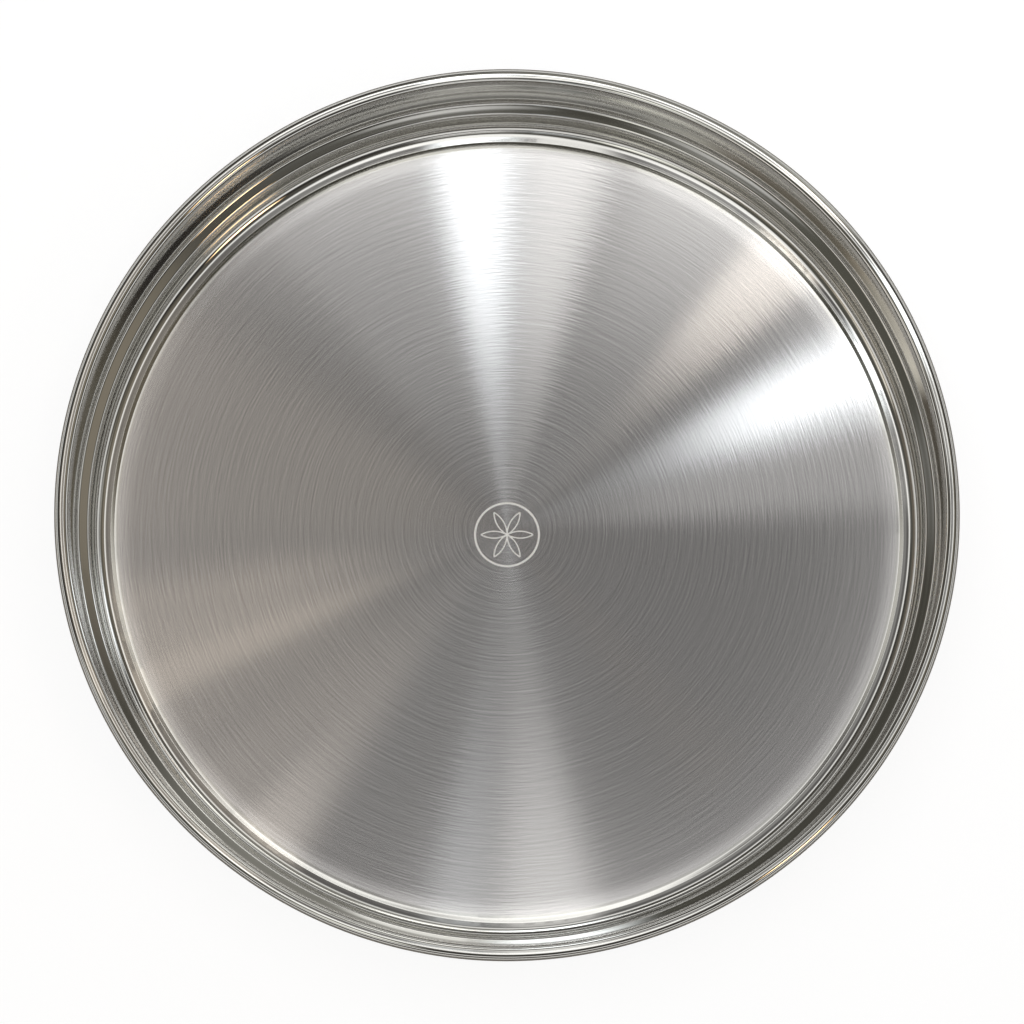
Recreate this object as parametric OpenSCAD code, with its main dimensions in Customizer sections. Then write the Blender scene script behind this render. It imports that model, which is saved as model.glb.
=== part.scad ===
// A round stainless-steel thali: one pressed sheet whose edge is rolled round a hoop of wire.
// The axis is +Z and the plate stands on z = 0, centred on the origin.

/* [Plate] */
// Diameter over the rolled rim
plate_d = 300; // [240:1:360]
// Height from the table to the top of the rim
plate_h = 38; // [32:0.5:45]
// Thickness of the steel sheet
sheet_t = 0.7; // [0.5:0.05:1]

/* [Rim] */
// Thickness of the wire inside the rolled rim
wire_d = 3.6; // [2.5:0.1:4.5]
// Gap all round between the wire and the sheet that is rolled over it
wire_clearance = 0.05; // [0.02:0.01:0.1]
// Gap between the two ends of the wire hoop
wire_end_gap = 1.2; // [0.5:0.1:3]
// Gap between the rolled edge's lip and the outside of the wall
lip_gap = 0.4; // [0.2:0.05:0.8]
// How far the roll stands out from the wall before it turns over
neck_lean = 0.35; // [0.2:0.05:0.6]
// Bend radius where the wall turns out into the rim, on the sheet's middle
neck_bend_r = 1.2; // [0.8:0.1:2]

/* [Walls and ledge] */
// Slope of the upper wall away from upright, in degrees
wall_draft = 2; // [0:0.5:6]
// Height of the ledge's outer edge above the table
ledge_h = 13.5; // [10:0.5:18]
// Width of the ledge, from the lower wall to the upper wall
ledge_w = 4.5; // [3.5:0.1:7]
// Slope of the ledge, down towards the middle, in degrees
ledge_slope = 20; // [5:1:35]
// Bend radius at the ledge's outer edge, on the sheet's middle
ledge_root_r = 2.3; // [1:0.1:2.5]
// Bend radius at the ledge's inner edge, on the sheet's middle
ledge_edge_r = 1.3; // [0.8:0.1:1.8]
// Slope of the lower wall away from upright, in degrees
lower_wall_draft = 2; // [0:0.5:8]
// Bend radius of the corner between the foot and the lower wall, on the sheet's middle
corner_r = 5.7; // [3:0.1:7]

/* [Foot and floor] */
// Flat width of the ring that the plate stands on
foot_w = 0.8; // [0.2:0.1:3]
// Height of the slope from the ring up to the floor's edge
rise_h = 0.28; // [0.2:0.02:0.6]
// Width of that slope
rise_w = 1.3; // [1:0.1:3]
// Bend radius at both edges of that slope, on the sheet's middle
rise_bend_r = 1.4; // [0.8:0.1:1.6]
// Width of the floor's edge, where it rolls down to meet that slope
floor_edge_w = 6.2; // [4:0.1:9]
// How far the floor falls across that edge
floor_edge_fall = 0.33; // [0.1:0.01:0.4]

/* [Centre mark] */
// Diameter of the engraved ring, on its line's middle
mark_d = 21.4; // [15:0.1:30]
// Width of the engraved ring's line
mark_line_w = 0.7; // [0.4:0.05:1]
// Width of the engraved petals' lines
petal_line_w = 0.45; // [0.3:0.05:0.8]
// Clear width between the petals' tips and the ring
petal_gap = 1.6; // [0.8:0.1:3]
// Number of petals
petals = 6; // [3:1:8]
// Depth of the engraving
mark_depth = 0.1; // [0.05:0.01:0.2]
// How far the mark sits in front of the plate's axis
mark_off_centre = 1.9; // [0:0.1:3]

/* [Hidden] */
// Largest turn between two points of a bend, in degrees
bend_step = 6;
// Flat between the rolled edge of the floor and the slope's upper bend
edge_flat = 0.3;
// Overrun of a cut past the face that it starts from
overrun = 0.5;
$fn = 128;

bead_r = wire_d / 2 + wire_clearance + sheet_t;
roll_r = bead_r - sheet_t / 2;
bead_centre = [plate_d / 2 - bead_r, plate_h - bead_r];

// The section's corners on the sheet's middle, from the rim inwards and down
wall_top = bead_centre - [roll_r + neck_lean, 0];
ledge_outer = [wall_top[0] - (wall_top[1] - ledge_h) * tan(wall_draft), ledge_h];
ledge_inner = ledge_outer - ledge_w * [1, tan(ledge_slope)];
foot_z = sheet_t / 2;
corner = [ledge_inner[0] - (ledge_inner[1] - foot_z) * tan(lower_wall_draft), foot_z];
corner_reach = corner_r * tan((90 - lower_wall_draft) / 2);
rise_angle = atan(rise_h / rise_w);
rise_foot = corner - [corner_reach + foot_w + rise_bend_r * tan(rise_angle / 2), 0];
rise_top = rise_foot + [-rise_w, rise_h];

// The rolled edge is one arc that starts level
floor_edge_angle = 2 * atan(floor_edge_fall / floor_edge_w);
floor_edge_r = floor_edge_w / sin(floor_edge_angle);
floor_edge_reach = floor_edge_r * tan(floor_edge_angle / 2);
edge_run = floor_edge_reach + edge_flat + rise_bend_r * tan((rise_angle - floor_edge_angle) / 2);
floor_edge = rise_top + edge_run * [-cos(floor_edge_angle), sin(floor_edge_angle)];
floor_centre = [0, floor_edge[1]];
floor_top_z = floor_centre[1] + sheet_t / 2;

// A heading is an angle in the section, 0 outwards and 90 up
function ahead(angle) = [cos(angle), sin(angle)];
function left(angle) = [-sin(angle), cos(angle)];
function heading(from, to) = atan2(to[1] - from[1], to[0] - from[0]);
function half_turn(angle) = angle > 180 ? angle - 360 : angle <= -180 ? angle + 360 : angle;

// Even steps from one angle to another, without the first
function steps_to(from, to) =
    let (count = ceil(abs(to - from) / bend_step))
    [for (i = [1 : count]) from + (to - from) * i / count];

// Rounds corner b of the path a, b, c. Each point comes with the sheet's normal there.
function rounded(a, b, c, r) =
    let (
        start = heading(a, b),
        turn = half_turn(heading(b, c) - start),
        side = sign(turn) * r,
        centre = b - r * tan(abs(turn) / 2) * ahead(start) + side * left(start)
    )
    [
        for (angle = concat([start], steps_to(start, start + turn)))
            [centre - side * left(angle), left(angle)]
    ];

// Heading of the neck, which leaves the wall's top and just touches the roll
neck_angle = asin(roll_r / (roll_r + neck_lean));
roll_start = bead_centre + roll_r * left(neck_angle);

// The roll goes over the top, down the outside and back in under the rim, as far as the lip
wall_outside = wall_top[0] + sheet_t / 2;
lip_angle = asin((bead_centre[0] - wall_outside - lip_gap) / bead_r);
roll_angles = concat(
    [neck_angle],
    steps_to(neck_angle, 0),
    steps_to(0, -90),
    steps_to(-90, -180 - lip_angle)
);

sheet_path = concat(
    [[floor_centre, left(0)]],
    rounded(floor_centre, floor_edge, rise_top, floor_edge_r),
    rounded(floor_edge, rise_top, rise_foot, rise_bend_r),
    rounded(rise_top, rise_foot, corner, rise_bend_r),
    rounded(rise_foot, corner, ledge_inner, corner_r),
    rounded(corner, ledge_inner, ledge_outer, ledge_edge_r),
    rounded(ledge_inner, ledge_outer, wall_top, ledge_root_r),
    rounded(ledge_outer, wall_top, roll_start, neck_bend_r),
    [for (angle = roll_angles) [bead_centre + roll_r * left(angle), left(angle)]]
);

// Both faces of the sheet: the eating side outwards, then the underside back
sheet_outline = concat(
    [for (p = sheet_path) p[0] + p[1] * sheet_t / 2],
    [for (i = [len(sheet_path) - 1 : -1 : 0]) sheet_path[i][0] - sheet_path[i][1] * sheet_t / 2]
);

module ring(r, w) {
    difference() {
        circle(r = r + w / 2);
        circle(r = r - w / 2);
    }
}

// A plain ring round a rosette that a pair of compasses draws
module mark_lines() {
    petal_r = mark_d / 2 - mark_line_w / 2 - petal_gap;
    ring(mark_d / 2, mark_line_w);
    intersection() {
        circle(r = petal_r);
        for (i = [0 : petals - 1])
            rotate(i * 360 / petals)
                translate([petal_r, 0])
                    ring(petal_r, petal_line_w);
    }
}

module pressed_dish() {
    color("silver")
        difference() {
            rotate_extrude() polygon(sheet_outline);
            translate([0, -mark_off_centre, floor_top_z - mark_depth])
                linear_extrude(mark_depth + overrun)
                    mark_lines();
        }
}

module rim_wire() {
    end_angle = wire_end_gap / bead_centre[0] * 180 / PI;
    color("gray")
        rotate([0, 0, end_angle / 2])
            rotate_extrude(angle = 360 - end_angle)
                translate(bead_centre)
                    circle(d = wire_d);
}

pressed_dish();
rim_wire();
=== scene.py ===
import math

import bpy
from mathutils import Matrix, Vector


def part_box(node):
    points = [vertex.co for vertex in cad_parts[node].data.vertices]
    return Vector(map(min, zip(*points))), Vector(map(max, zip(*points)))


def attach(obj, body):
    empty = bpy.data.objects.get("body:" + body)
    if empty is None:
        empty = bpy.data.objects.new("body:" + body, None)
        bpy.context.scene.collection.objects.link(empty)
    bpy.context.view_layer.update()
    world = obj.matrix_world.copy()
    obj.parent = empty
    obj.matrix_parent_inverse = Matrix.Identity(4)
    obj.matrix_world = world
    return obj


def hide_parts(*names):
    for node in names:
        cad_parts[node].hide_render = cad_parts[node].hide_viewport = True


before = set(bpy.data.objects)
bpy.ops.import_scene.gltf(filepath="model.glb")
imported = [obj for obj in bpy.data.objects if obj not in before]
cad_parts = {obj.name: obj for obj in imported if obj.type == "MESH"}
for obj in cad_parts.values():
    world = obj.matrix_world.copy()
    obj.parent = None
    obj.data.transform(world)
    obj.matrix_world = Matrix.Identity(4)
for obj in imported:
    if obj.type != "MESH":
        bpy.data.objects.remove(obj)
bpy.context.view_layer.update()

MM = 0.001
DEGREE = math.pi / 180

# The rim's sizes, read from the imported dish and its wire
PLATE_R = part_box("pressed_dish")[1].x
WIRE_LOW, WIRE_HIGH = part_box("rim_wire")
WIRE_R = (WIRE_HIGH.z - WIRE_LOW.z) / 2
BEAD_CENTRE = Vector((-WIRE_LOW.y - WIRE_R, (WIRE_HIGH.z + WIRE_LOW.z) / 2))
BEAD_R = PLATE_R - BEAD_CENTRE.x

# Sheet, rim, walls and ledge. Bend radii are on the sheet's middle.
SHEET_T = 0.7 * MM
NECK_LEAN = 0.35 * MM
NECK_BEND_R = 1.2 * MM
LIP_GAP = 0.4 * MM
WALL_DRAFT = 2 * DEGREE
LEDGE_H = 13.5 * MM
LEDGE_W = 4.5 * MM
LEDGE_SLOPE = 20 * DEGREE
LEDGE_ROOT_R = 2.3 * MM
LEDGE_EDGE_R = 1.3 * MM
LOWER_WALL_DRAFT = 2 * DEGREE
CORNER_R = 5.7 * MM

# Foot, the slope above it and the floor's rolled edge
FOOT_W = 0.8 * MM
RISE_H = 0.28 * MM
RISE_W = 1.3 * MM
RISE_BEND_R = 1.4 * MM
FLOOR_EDGE_W = 6.2 * MM
FLOOR_EDGE_FALL = 0.33 * MM
EDGE_FLAT = 0.3 * MM

# Centre mark
MARK_R = 10.7 * MM
MARK_LINE_W = 0.7 * MM
PETAL_LINE_W = 0.45 * MM
PETAL_GAP = 1.6 * MM
PETALS = 6
MARK_DEPTH = 0.1 * MM
MARK_OFF_CENTRE = 1.9 * MM
MARK_RING_SEGMENTS = 96
# A petal line starts this far round its circle and runs on as far again, which is what lies in the rosette
PETAL_ARC = 120 * DEGREE
PETAL_SEGMENTS = 24

# How finely the dish is spun: the largest turn between two points of a bend on each face,
# and a point beside each bend that keeps the flats flat
EATING_SIDE_STEP = 4 * DEGREE
UNDERSIDE_STEP = 9 * DEGREE
FLOOR_EDGE_STEP = 1 * DEGREE
FLAT_GUARD = 0.1 * MM
SPIN_SEGMENTS = 360
MERGE_DISTANCE = 0.002 * MM
# An edge that turns more than this stays sharp
SHARP_ANGLE = 30 * DEGREE

# Colours and roughness of the steel
POLISHED_COLOUR = (0.6, 0.592, 0.56, 1)
BRUSHED_COLOUR = (0.6, 0.588, 0.575, 1)
FROSTED_COLOUR = (0.9, 0.9, 0.88, 1)
WIRE_COLOUR = (0.45, 0.45, 0.45, 1)
POLISHED_ROUGHNESS = 0.05
BRUSHED_ROUGHNESS = 0.18
FROSTED_ROUGHNESS = 0.6
WIRE_ROUGHNESS = 0.4
# How strongly the finish stretches a highlight across its lines, and the share of a turn that lays it so
STRETCH = 0.96
STRETCH_TURN = 0.25
# Width over which the brushing gives way to polished steel
BRUSHING_FADE = 1.2 * MM
# Lines round the plate: how many lie side by side in a millimetre, and how often each changes in one
HAIRLINES = (2.1, 0.11)
SCRATCHES = (1.2, 0.04)
SPUN_LINES = (0.5, 0.006)
LINE_DETAIL = 2.0
# Lines are noise less the same noise this far out, as a share of a line's width
LINE_SHIFT = 0.6
# Waves of the pressed steel, and grain of the drawn wire, as how many lie in a millimetre
WAVES_PER_MM = 0.02
WAVE_DETAIL = 1.0
GRAIN_PER_MM = 0.9
GRAIN_DETAIL = 3.0
# How far the normal sways round the plate and rocks in and out
WAVE_SWAY = 0.02
HAIRLINE_SWAY = 0.038
SPUN_ROCK = 0.065
SCRATCH_ROCK = 0.012
# How much the lines change the tone and the roughness
HAIRLINE_TONE = 0.28
SCRATCH_TONE = 0.19
SPUN_TONE = 0.08
SCRATCH_ROUGHNESS = 0.04
SPUN_ROUGHNESS = 0.03
GRAIN_ROUGHNESS = 0.2
# How far past its ring the mark's frosting may reach
MARK_MARGIN = 3 * MM

# The camera: a long lens that looks down on the plate and a little towards its far side
VIEW_TILT = 10 * DEGREE
VIEW_DISTANCE = 3.0
VIEW_WIDTH = 339.2 * MM
AIM_RIGHT = 1.66 * MM
AIM_UP = -0.2 * MM
SENSOR_WIDTH = 36
VIEW_REACH = 20

# The studio: a floor, which steel sees darker near the plate, and cards of light over the plate
FLOOR_R = 4.0
FLOOR_SIDES = 96
FLOOR_COLOUR = (0.8, 0.8, 0.8, 1)
SHADED_COLOUR = (0.45, 0.435, 0.42, 1)
FLOOR_SHADE_R = 290 * MM
FLOOR_SHADE_FADE = 80 * MM
FLOOR_GLOW = 1.18
FLOOR_GLOW_SHARE = 0.75
CARD_R = 230 * MM
CARD_FADE = 15 * MM
CARD_ROWS = 24
CARD_COLUMNS = 16
# A card is this many times as wide as its streak, and starts to fade at this share of the way to its side
CARD_SPREAD = 1.5
CARD_SIDE_FADE = 0.3
WHITE, BLUE_WHITE, CREAM, WARM = (1, 1, 1), (0.9, 0.95, 1.0), (1.0, 0.92, 0.84), (1.0, 0.86, 0.7)
# name, azimuth and half width in degrees, start in mm, height in m, radiance and colour
CARDS = [
    ("back_card", -5, 6, 68, 0.25, 2.35, BLUE_WHITE),
    ("back_side_card", 9, 7, 66, 0.25, 1.1, WHITE),
    ("back_right_card", 31, 12, 80, 0.15, 0.28, WHITE),
    ("back_edge_card", 13, 48, 155, 0.25, 1.85, WHITE),
    ("cream_card", 45, 5, 89, 0.15, 1.5, CREAM),
    ("right_card", 66, 7, 79, 0.15, 2.2, BLUE_WHITE),
    ("right_side_card", 80, 7, 40, 0.15, 0.3, WHITE),
    ("right_edge_card", 125, 60, 138, 0.15, 0.3, WHITE),
    ("front_card", 174, 7, 85, 0.25, 0.65, WHITE),
    ("front_side_card", 187, 5, 85, 0.25, 0.4, BLUE_WHITE),
    ("front_edge_card", 180, 15, 150, 0.25, 0.5, WHITE),
    ("left_front_card", 217, 5, 118, 0.15, 0.6, CREAM),
    ("left_side_card", 225, 12, 50, 0.15, 0.16, WARM),
    ("left_card", 250, 12, 50, 0.15, 0.42, WARM),
    ("left_wide_card", 285, 24, 18, 0.15, 0.14, WARM),
    ("left_edge_card", 265, 55, 138, 0.15, 0.3, CREAM),
    ("left_back_card", 335, 18, 50, 0.15, 0.17, WHITE),
    ("left_back_edge_card", 324, 14, 155, 0.15, 0.25, WHITE),
]

# Colours of the sky by their angle, in degrees, from the direction in which the level floor mirrors the
# camera, and where that scale ends
SKY = [
    (0, (0.15, 0.146, 0.147)), (8, (0.158, 0.154, 0.155)), (13, (0.24, 0.235, 0.235)),
    (17.5, (1.2, 1.2, 1.2)), (23, (1.2, 1.2, 1.2)), (27, (0.06, 0.052, 0.048)),
    (33, (0.06, 0.056, 0.05)), (37, (0.09, 0.087, 0.075)), (42, (0.13, 0.126, 0.11)),
    (49, (0.06, 0.057, 0.05)), (53, (0.04, 0.036, 0.035)), (64, (0.05, 0.046, 0.042)),
    (70, (1.0, 1.0, 1.0)), (77, (0.95, 0.95, 0.95)), (82, (0.12, 0.11, 0.1)),
]
SKY_SPAN = 100 * DEGREE
# A window is clear out to the first share of its radius and has faded away at the second
WINDOW_CLEAR = 0.5
WINDOW_END = 1.6
# Windows in the sky: azimuth, angle as above and radius in degrees, and colour
WINDOWS = [
    (137, 51, 4, (7.0, 5.0, 3.0)),
    (205, 54, 8, (1.7, 1.7, 1.6)),
    (38, 53, 6, (1.5, 1.5, 1.4)),
    (247, 54, 6, (1.5, 1.45, 1.35)),
    (100, 42, 14, (0.17, 0.155, 0.125)),
    (228, 44, 16, (0.12, 0.117, 0.1)),
    (20, 42, 16, (0.32, 0.315, 0.29)),
    (172, 27, 8, (1.5, 1.5, 1.5)),
    (212, 27, 8, (1.5, 1.5, 1.5)),
]


class Value:
    """A socket of a node tree. Python's operators on it add Math nodes."""

    def __init__(self, graph, socket):
        self.graph = graph
        self.socket = socket

    def output(self, name):
        return Value(self.graph, self.socket.node.outputs[name])

    def __add__(self, other):
        return self.graph.maths("ADD", self, other)

    def __sub__(self, other):
        return self.graph.maths("SUBTRACT", self, other)

    def __rsub__(self, other):
        return self.graph.maths("SUBTRACT", other, self)

    def __mul__(self, other):
        return self.graph.maths("MULTIPLY", self, other)

    def __truediv__(self, other):
        return self.graph.maths("DIVIDE", self, other)

    def __rtruediv__(self, other):
        return self.graph.maths("DIVIDE", other, self)

    def __lt__(self, other):
        return self.graph.maths("LESS_THAN", self, other)

    def __gt__(self, other):
        return self.graph.maths("GREATER_THAN", self, other)

    __radd__ = __add__
    __rmul__ = __mul__


class Graph:
    """A node tree, which is built one node at a time."""

    def __init__(self, tree):
        self.tree = tree
        tree.nodes.clear()

    def node(self, kind, settings=None, sockets=None):
        made = self.tree.nodes.new(kind)
        for name, value in (settings or {}).items():
            if name == "stops":
                self.set_stops(made.color_ramp, value)
            else:
                setattr(made, name, value)
        for name, value in (sockets or {}).items():
            for one in value if isinstance(value, list) else [value]:
                if isinstance(one, Value):
                    self.tree.links.new(one.socket, made.inputs[name])
                else:
                    made.inputs[name].default_value = one
        return Value(self, made.outputs[0]) if made.outputs else None

    def set_stops(self, ramp, stops):
        while len(ramp.elements) < len(stops):
            ramp.elements.new(1.0)
        for element, (place, colour) in zip(ramp.elements, sorted(stops)):
            element.position = place
            element.color = colour

    def maths(self, operation, *values):
        return self.node("ShaderNodeMath", {"operation": operation}, dict(enumerate(values)))

    def vector(self, operation, first, second=None, scale=None):
        sockets = {0: first, 1: second, "Scale": scale}
        given = {name: value for name, value in sockets.items() if value is not None}
        return self.node("ShaderNodeVectorMath", {"operation": operation}, given)

    def blend(self, low, high, value):
        """0 where value is at or below low, 1 at or above high, and smooth between."""
        return self.node("ShaderNodeMapRange", {"interpolation_type": "SMOOTHSTEP"}, {
            "Value": value,
            "From Min": low,
            "From Max": high,
        })

    def between(self, first, second, share):
        return first + (second - first) * share

    def noise(self, place, scale, detail):
        """Soft noise between 0 and 1."""
        return self.node("ShaderNodeTexNoise", {}, {"Vector": place, "Scale": scale, "Detail": detail})

    def mix(self, share, first, second):
        """Colours go through a Mix node, because a Math node turns them grey."""
        return self.node("ShaderNodeMix", {"data_type": "RGBA"}, {0: share, 6: first, 7: second}).output(2)


def ahead(angle):
    return Vector((math.cos(angle), math.sin(angle)))


def left(angle):
    return Vector((-math.sin(angle), math.cos(angle)))


def heading(start, end):
    return math.atan2(end.y - start.y, end.x - start.x)


def stepped(start, end, step):
    """Even steps from one angle to another, with both."""
    count = max(1, math.ceil(abs(end - start) / step))
    return [start + (end - start) * i / count for i in range(count + 1)]


def rounded(before, corner, after, radius, step):
    """Points and normals round one corner of the sheet, with a guard point on the flat at each end."""
    start = heading(before, corner)
    turn = (heading(corner, after) - start + math.pi) % (2 * math.pi) - math.pi
    side = math.copysign(radius, turn)
    reach = radius * math.tan(abs(turn) / 2)
    centre = corner - reach * ahead(start) + side * left(start)
    bend = [(centre - side * left(angle), left(angle)) for angle in stepped(start, start + turn, step)]
    first = (bend[0][0] - FLAT_GUARD * ahead(start), bend[0][1])
    last = (bend[-1][0] + FLAT_GUARD * ahead(start + turn), bend[-1][1])
    return [first, *bend, last]


def sheet_face(side, step):
    """One face of the sheet from the centre to the lip, as radius and height.

    Side 1 is the eating side and -1 the underside.
    """
    roll_r = BEAD_R - SHEET_T / 2
    wall_top = BEAD_CENTRE - Vector((roll_r + NECK_LEAN, 0))
    wall_height = wall_top.y - LEDGE_H
    ledge_outer = Vector((wall_top.x - wall_height * math.tan(WALL_DRAFT), LEDGE_H))
    ledge_inner = ledge_outer - LEDGE_W * Vector((1, math.tan(LEDGE_SLOPE)))
    foot_z = SHEET_T / 2
    corner = Vector((ledge_inner.x - (ledge_inner.y - foot_z) * math.tan(LOWER_WALL_DRAFT), foot_z))
    corner_reach = CORNER_R * math.tan((math.pi / 2 - LOWER_WALL_DRAFT) / 2)
    rise_angle = math.atan(RISE_H / RISE_W)
    rise_foot = corner - Vector((corner_reach + FOOT_W + RISE_BEND_R * math.tan(rise_angle / 2), 0))
    rise_top = rise_foot + Vector((-RISE_W, RISE_H))
    edge_angle = 2 * math.atan(FLOOR_EDGE_FALL / FLOOR_EDGE_W)
    edge_r = FLOOR_EDGE_W / math.sin(edge_angle)
    edge_run = edge_r * math.tan(edge_angle / 2) + EDGE_FLAT
    edge_run += RISE_BEND_R * math.tan((rise_angle - edge_angle) / 2)
    floor_edge = rise_top - edge_run * ahead(-edge_angle)
    centre = Vector((0, floor_edge.y))
    neck = math.asin(roll_r / (roll_r + NECK_LEAN))
    roll_start = BEAD_CENTRE + roll_r * left(neck)
    lip = math.asin((BEAD_CENTRE.x - wall_top.x - SHEET_T / 2 - LIP_GAP) / BEAD_R)
    turns = stepped(neck, 0, step) + stepped(0, -math.pi / 2, step)[1:]
    turns += stepped(-math.pi / 2, -math.pi - lip, step)[1:]
    path = [(centre, left(0))]
    path += rounded(centre, floor_edge, rise_top, edge_r, min(step, FLOOR_EDGE_STEP))
    path += rounded(floor_edge, rise_top, rise_foot, RISE_BEND_R, step)
    path += rounded(rise_top, rise_foot, corner, RISE_BEND_R, step)
    path += rounded(rise_foot, corner, ledge_inner, CORNER_R, step)
    path += rounded(corner, ledge_inner, ledge_outer, LEDGE_EDGE_R, step)
    path += rounded(ledge_inner, ledge_outer, wall_top, LEDGE_ROOT_R, step)
    path += rounded(ledge_outer, wall_top, roll_start, NECK_BEND_R, step)
    path += [(BEAD_CENTRE + roll_r * left(turn), left(turn)) for turn in turns]
    return [point + normal * side * SHEET_T / 2 for point, normal in path]


EATING_SIDE = sheet_face(1, EATING_SIDE_STEP)
UNDERSIDE = sheet_face(-1, UNDERSIDE_STEP)
FLOOR_TOP = EATING_SIDE[0].y
# The brushing runs out over the floor's rolled edge
BRUSHING_R = EATING_SIDE[1].x + FLOOR_EDGE_W


def mark_bar(graph, line, width, height):
    """A line of the mark as a bar with a rectangular section."""
    section = graph.node("GeometryNodeCurvePrimitiveQuadrilateral", {"mode": "RECTANGLE"}, {
        "Width": width,
        "Height": height,
    })
    return graph.node("GeometryNodeCurveToMesh", {}, {
        "Curve": line,
        "Profile Curve": section,
        "Fill Caps": True,
    })


def mark_cutter(graph, given):
    """A ring and, inside it, arcs that make a rosette, as bars half sunk in the floor's surface."""
    height = given["Mark depth"] * 2
    ring = graph.node("GeometryNodeCurvePrimitiveCircle", {"mode": "RADIUS"}, {
        "Resolution": MARK_RING_SEGMENTS,
        "Radius": given["Mark radius"],
    })
    ring_bar = mark_bar(graph, ring, given["Mark line width"], height)
    petal_r = given["Mark radius"] - given["Mark line width"] / 2 - given["Petal gap"]
    arc = graph.node("GeometryNodeCurveArc", {"mode": "RADIUS"}, {
        "Resolution": PETAL_SEGMENTS,
        "Radius": petal_r,
        "Start Angle": PETAL_ARC,
        "Sweep Angle": PETAL_ARC,
    })
    arc_bar = mark_bar(graph, arc, given["Petal line width"], height)
    out = graph.node("ShaderNodeCombineXYZ", {}, {"X": petal_r})
    petal = graph.node("GeometryNodeTransform", {}, {"Geometry": arc_bar, "Translation": out})
    points = graph.node("GeometryNodePoints", {}, {"Count": given["Petals"]})
    turn = graph.node("GeometryNodeInputIndex") * (2 * math.pi) / given["Petals"]
    turned = graph.node("ShaderNodeCombineXYZ", {}, {"Z": turn})
    rosette = graph.node("GeometryNodeInstanceOnPoints", {}, {
        "Points": points,
        "Instance": petal,
        "Rotation": turned,
    })
    place = graph.node("ShaderNodeCombineXYZ", {}, {
        "Y": 0 - given["Mark off centre"],
        "Z": given["Floor top"],
    })
    return [
        graph.node("GeometryNodeTransform", {}, {"Geometry": one, "Translation": place})
        for one in (ring_bar, rosette)
    ]


def spinning_tree(sizes):
    """A tree that spins a section about Z, cuts the mark and sets the material.

    It has a named input for each size.
    """
    tree = bpy.data.node_groups.new("spun_dish", "GeometryNodeTree")
    graph = Graph(tree)
    kinds = {int: "NodeSocketInt", float: "NodeSocketFloat", bpy.types.Material: "NodeSocketMaterial"}
    tree.interface.new_socket("Geometry", in_out="INPUT", socket_type="NodeSocketGeometry")
    tree.interface.new_socket("Geometry", in_out="OUTPUT", socket_type="NodeSocketGeometry")
    for name, size in sizes.items():
        tree.interface.new_socket(name, in_out="INPUT", socket_type=kinds[type(size)])
    entry = graph.node("NodeGroupInput")
    given = {name: entry.output(name) for name in sizes}
    path = graph.node("GeometryNodeCurvePrimitiveCircle", {"mode": "RADIUS"}, {
        "Resolution": given["Segments"],
        "Radius": given["Spin radius"],
    })
    section = graph.node("GeometryNodeMeshToCurve", {}, {"Mesh": entry})
    skin = graph.node("GeometryNodeCurveToMesh", {}, {"Curve": path, "Profile Curve": section})
    closed = graph.node("GeometryNodeMergeByDistance", {}, {
        "Geometry": skin,
        "Distance": given["Merge distance"],
    })
    ring, rosette = mark_cutter(graph, given)
    cut = graph.node("GeometryNodeMeshBoolean", {"operation": "DIFFERENCE", "solver": "MANIFOLD"}, {
        "Mesh 1": closed,
        "Mesh 2": [ring, rosette],
    })
    smooth = graph.node("GeometryNodeSetShadeSmooth", {"domain": "FACE"}, {
        "Geometry": cut,
        "Shade Smooth": True,
    })
    gentle = graph.node("GeometryNodeInputMeshEdgeAngle") < given["Sharp angle"]
    edged = graph.node("GeometryNodeSetShadeSmooth", {"domain": "EDGE"}, {
        "Geometry": smooth,
        "Shade Smooth": gentle,
    })
    whole = graph.node("GeometryNodeRealizeInstances", {}, {"Geometry": edged})
    finished = graph.node("GeometryNodeSetMaterial", {}, {
        "Geometry": whole,
        "Material": given["Material"],
    })
    graph.node("NodeGroupOutput", {}, {"Geometry": finished})
    return tree


def spun_dish(material):
    """The dish, spun from its section in Geometry Nodes and kept as a plain mesh."""
    sizes = {
        "Segments": SPIN_SEGMENTS,
        "Spin radius": PLATE_R,
        "Merge distance": MERGE_DISTANCE,
        "Mark radius": MARK_R,
        "Mark line width": MARK_LINE_W,
        "Petal line width": PETAL_LINE_W,
        "Petal gap": PETAL_GAP,
        "Petals": PETALS,
        "Mark depth": MARK_DEPTH,
        "Mark off centre": MARK_OFF_CENTRE,
        "Floor top": FLOOR_TOP,
        "Sharp angle": SHARP_ANGLE,
        "Material": material,
    }
    outline = EATING_SIDE + UNDERSIDE[::-1]
    section = bpy.data.meshes.new("dish_section")
    # Curve to Mesh sets the section on a circle of the plate's radius and lays its Y downwards
    points = [(p.x - PLATE_R, -p.y, 0) for p in outline]
    section.from_pydata(points, [(i, i + 1) for i in range(len(points) - 1)], [])
    dish = bpy.data.objects.new("spun_dish", section)
    bpy.context.scene.collection.objects.link(dish)
    tree = spinning_tree(sizes)
    modifier = dish.modifiers.new("spin", "NODES")
    modifier.node_group = tree
    for item in tree.interface.items_tree:
        if item.in_out == "INPUT" and item.name in sizes:
            modifier[item.identifier] = sizes[item.name]
    evaluated = dish.evaluated_get(bpy.context.evaluated_depsgraph_get())
    mesh = bpy.data.meshes.new_from_object(evaluated)
    dish.modifiers.remove(modifier)
    dish.data = mesh
    return dish


def new_material(name):
    material = bpy.data.materials.new(name)
    material.use_nodes = True
    return material, Graph(material.node_tree)


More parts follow.
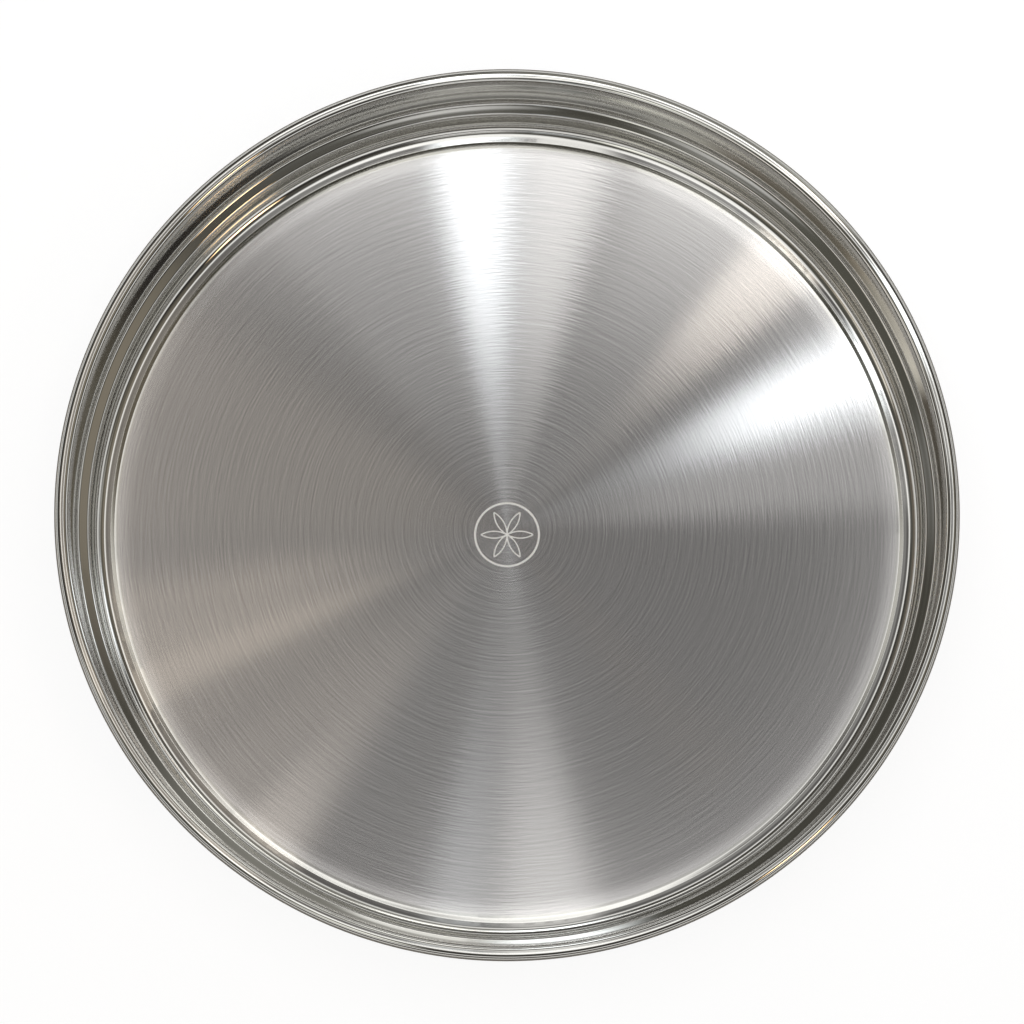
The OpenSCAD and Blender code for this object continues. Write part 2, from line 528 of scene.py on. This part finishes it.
def dish_steel():
    """Polished steel, with circular brushing on the floor and a frosted engraved mark."""
    material, graph = new_material("dish_steel")
    place = graph.node("ShaderNodeTexCoord").output("Object")
    x = graph.node("ShaderNodeSeparateXYZ", {}, {"Vector": place})
    y, z = x.output("Y"), x.output("Z")
    level = graph.node("ShaderNodeCombineXYZ", {}, {"X": x, "Y": y})
    radius = graph.vector("LENGTH", level).output("Value")
    around = graph.vector("NORMALIZE", graph.node("ShaderNodeCombineXYZ", {}, {"X": 0 - y, "Y": x}))
    normal = graph.node("ShaderNodeNewGeometry").output("Normal")
    # 1 where the steel lies level and 0 where it stands upright
    flat = graph.node("ShaderNodeSeparateXYZ", {}, {"Vector": normal}).output("Z")
    along = graph.vector("CROSS_PRODUCT", normal, around)

    def lines(per_mm, changes_per_mm):
        """Fine lines that run round the plate, as a value about 0.

        Each is noise less the same noise a little further out, which leaves no broad bands.
        """
        out = (radius + z) * (per_mm / MM)
        places = [graph.node("ShaderNodeCombineXYZ", {}, {
            "X": out + shift,
            "Y": x * (changes_per_mm / MM),
            "Z": y * (changes_per_mm / MM),
        }) for shift in (0, LINE_SHIFT)]
        first, second = (graph.noise(one, 1.0, LINE_DETAIL) for one in places)
        return first - second

    brushed = graph.blend(BRUSHING_R, BRUSHING_R - BRUSHING_FADE, radius)
    hairlines = lines(*HAIRLINES)
    scratches = lines(*SCRATCHES)
    spun = lines(*SPUN_LINES)
    waves = graph.noise(place, WAVES_PER_MM / MM, WAVE_DETAIL) - 0.5
    # The bottom of the engraving lies lower than the floor round it
    in_depth = (z < FLOOR_TOP - MARK_DEPTH / 2) * (z > FLOOR_TOP - MARK_DEPTH * 2)
    cut = in_depth * (radius < MARK_R + MARK_MARGIN)

    sway = graph.between(waves * WAVE_SWAY, hairlines * HAIRLINE_SWAY, brushed)
    rock = graph.between(spun * flat * SPUN_ROCK, scratches * SCRATCH_ROCK, brushed)
    swayed = graph.vector("ADD", normal, graph.vector("SCALE", around, scale=sway))
    rocked = graph.vector("ADD", swayed, graph.vector("SCALE", along, scale=rock))

    polished_roughness = POLISHED_ROUGHNESS + spun * SPUN_ROUGHNESS
    brushed_roughness = BRUSHED_ROUGHNESS + scratches * SCRATCH_ROUGHNESS
    roughness = graph.between(polished_roughness, brushed_roughness, brushed)
    polished_tone = 1.0 + spun * flat * SPUN_TONE
    brushed_tone = 1.0 + hairlines * HAIRLINE_TONE + scratches * SCRATCH_TONE
    tone = graph.between(polished_tone, brushed_tone, brushed)
    steel = graph.vector("SCALE", graph.mix(brushed, POLISHED_COLOUR, BRUSHED_COLOUR), scale=tone)
    surface = graph.node("ShaderNodeBsdfPrincipled", {}, {
        "Base Color": graph.mix(cut, steel, FROSTED_COLOUR),
        "Metallic": 1.0 - cut,
        "Roughness": graph.between(roughness, FROSTED_ROUGHNESS, cut),
        "Anisotropic": STRETCH,
        "Anisotropic Rotation": STRETCH_TURN,
        "Normal": graph.vector("NORMALIZE", rocked),
    })
    graph.node("ShaderNodeOutputMaterial", {}, {"Surface": surface})
    return material


def wire_steel():
    """Drawn wire: dull, with a fine grain."""
    material, graph = new_material("wire_steel")
    place = graph.node("ShaderNodeTexCoord").output("Object")
    grain = graph.noise(place, GRAIN_PER_MM / MM, GRAIN_DETAIL) - 0.5
    surface = graph.node("ShaderNodeBsdfPrincipled", {}, {
        "Base Color": WIRE_COLOUR,
        "Metallic": 1.0,
        "Roughness": WIRE_ROUGHNESS + grain * GRAIN_ROUGHNESS,
    })
    graph.node("ShaderNodeOutputMaterial", {}, {"Surface": surface})
    return material


def staged(name, points, faces, material):
    """A plain mesh that belongs to the studio and not to the plate."""
    mesh = bpy.data.meshes.new(name)
    mesh.from_pydata(points, [], faces)
    mesh.materials.append(material)
    piece = bpy.data.objects.new(name, mesh)
    bpy.context.scene.collection.objects.link(piece)
    return piece


def white_floor():
    """A pale floor that shows white to the camera and keeps the plate's shadow.

    It is white in reflections too, but darker near the plate, as if shaded by it, which gives the rim a
    dark edge.
    """
    material, graph = new_material("white_floor")
    ray = graph.node("ShaderNodeLightPath")
    place = graph.node("ShaderNodeTexCoord").output("Object")
    distance = graph.vector("LENGTH", place).output("Value")
    far = graph.blend(FLOOR_SHADE_R - FLOOR_SHADE_FADE, FLOOR_SHADE_R + FLOOR_SHADE_FADE, distance)
    shaded = ray.output("Is Glossy Ray") * (1.0 - far)
    seen = graph.maths("MAXIMUM", ray.output("Is Camera Ray"), ray.output("Is Glossy Ray") * far)
    seen = graph.maths("MAXIMUM", seen, ray.output("Is Transmission Ray"))
    colour = graph.mix(shaded, FLOOR_COLOUR, SHADED_COLOUR)
    matt = graph.node("ShaderNodeBsdfDiffuse", {}, {"Color": colour})
    glow = graph.node("ShaderNodeEmission", {}, {"Color": (1, 1, 1, 1), "Strength": FLOOR_GLOW})
    surface = graph.node("ShaderNodeMixShader", {}, {0: seen * FLOOR_GLOW_SHARE, 1: matt, 2: glow})
    graph.node("ShaderNodeOutputMaterial", {}, {"Surface": surface})
    turns = [2 * math.pi * i / FLOOR_SIDES for i in range(FLOOR_SIDES)]
    points = [(FLOOR_R * math.cos(turn), FLOOR_R * math.sin(turn), 0) for turn in turns]
    staged("floor", points, [tuple(range(FLOOR_SIDES))], material)


def card_light():
    """The light of a card, which is painted on its mesh. It adds to what lies behind the card."""
    material, graph = new_material("card_light")
    paint = graph.node("ShaderNodeAttribute", {"attribute_name": "glow"})
    glow = graph.node("ShaderNodeEmission", {}, {"Color": paint})
    clear = graph.node("ShaderNodeBsdfTransparent")
    surface = graph.node("ShaderNodeAddShader", {}, {0: clear, 1: glow})
    graph.node("ShaderNodeOutputMaterial", {}, {"Surface": surface})
    return material


def eased(low, high, value):
    """What Graph.blend does, for a plain number."""
    share = min(1.0, max(0.0, (value - low) / (high - low)))
    return share * share * (3 - 2 * share)


def light_card(name, material, azimuth, spread, start, height, radiance, colour):
    """A level wedge of light over the plate, which the brushed floor draws out into a streak.

    azimuth is where the streak lies in the picture, clockwise from the top, and spread is half its width.
    start is the distance from the floor's centre at which it has half its strength.
    """
    inner, outer = start - CARD_FADE, CARD_R
    away = height * math.tan(VIEW_TILT)
    points, faces, paint = [], [], []
    for row in range(CARD_ROWS + 1):
        reach = inner + (outer - inner) * row / CARD_ROWS
        strength = eased(inner, start + CARD_FADE, reach) * (1 - eased(outer - CARD_FADE, outer, reach))
        for column in range(CARD_COLUMNS + 1):
            share = 2 * column / CARD_COLUMNS - 1
            turn = azimuth + share * spread * CARD_SPREAD
            points.append((reach * math.sin(turn), reach * math.cos(turn) + away, height))
            level = radiance * strength * (1 - eased(CARD_SIDE_FADE, 1.0, abs(share)))
            paint.append((*(level * part for part in colour), 1))
    for row in range(CARD_ROWS):
        for column in range(CARD_COLUMNS):
            first = row * (CARD_COLUMNS + 1) + column
            above = first + CARD_COLUMNS + 1
            faces.append((first, first + 1, above + 1, above))
    card = staged(name, points, faces, material)
    glow = card.data.attributes.new("glow", "FLOAT_COLOR", "POINT")
    for value, one in zip(glow.data, paint):
        value.color = one
    card.visible_camera = False
    card.visible_shadow = False


def way_to(azimuth, tilt):
    """A direction that leans by tilt from the one in which the level floor mirrors the camera."""
    lean = Vector((math.sin(tilt) * math.sin(azimuth), math.sin(tilt) * math.cos(azimuth), math.cos(tilt)))
    return Matrix.Rotation(-VIEW_TILT, 3, "X") @ lean


def sky():
    """The room: soft rings of light high up and low down, dimmer ceiling and walls, and a few windows."""
    world = bpy.data.worlds.new("sky")
    bpy.context.scene.world = world
    world.use_nodes = True
    graph = Graph(world.node_tree)
    way = graph.node("ShaderNodeTexCoord").output("Generated")

    def lean_from(azimuth, tilt):
        return graph.vector("DOT_PRODUCT", way, way_to(azimuth, tilt)).output("Value")

    off = graph.maths("ARCCOSINE", lean_from(0, 0))
    stops = [(angle * DEGREE / SKY_SPAN, (*shade, 1)) for angle, shade in SKY]
    colour = graph.node("ShaderNodeValToRGB", {"stops": stops}, {"Fac": off / SKY_SPAN})
    for azimuth, tilt, size, shade in WINDOWS:
        near = lean_from(azimuth * DEGREE, tilt * DEGREE)
        end, clear = (math.cos(size * share * DEGREE) for share in (WINDOW_END, WINDOW_CLEAR))
        colour = graph.mix(graph.blend(end, clear, near), colour, (*shade, 1))
    background = graph.node("ShaderNodeBackground", {}, {"Color": colour})
    graph.node("ShaderNodeOutputWorld", {}, {"Surface": background})


def camera():
    """A camera whose frame is VIEW_WIDTH wide at the middle of the rim."""
    lens = bpy.data.cameras.new("camera")
    lens.sensor_width = SENSOR_WIDTH
    lens.lens = lens.sensor_width * VIEW_DISTANCE / VIEW_WIDTH
    lens.clip_end = VIEW_REACH
    view = bpy.data.objects.new("camera", lens)
    bpy.context.scene.collection.objects.link(view)
    rim_centre = Vector((0, 0, BEAD_CENTRE.y))
    towards = Vector((0, -math.sin(VIEW_TILT), math.cos(VIEW_TILT)))
    up = Vector((0, math.cos(VIEW_TILT), math.sin(VIEW_TILT)))
    view.location = rim_centre + Vector((AIM_RIGHT, 0, 0)) + AIM_UP * up + VIEW_DISTANCE * towards
    view.rotation_euler = (VIEW_TILT, 0, 0)
    bpy.context.scene.camera = view


camera()
sky()
white_floor()
light = card_light()
for name, azimuth, spread, start, height, radiance, colour in CARDS:
    light_card(name, light, azimuth * DEGREE, spread * DEGREE, start * MM, height, radiance, colour)

dish = spun_dish(dish_steel())
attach(dish, "root")
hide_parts("pressed_dish")

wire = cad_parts["rim_wire"]
wire.data.materials.clear()
wire.data.materials.append(wire_steel())

bpy.context.scene.view_settings.view_transform = "Standard"
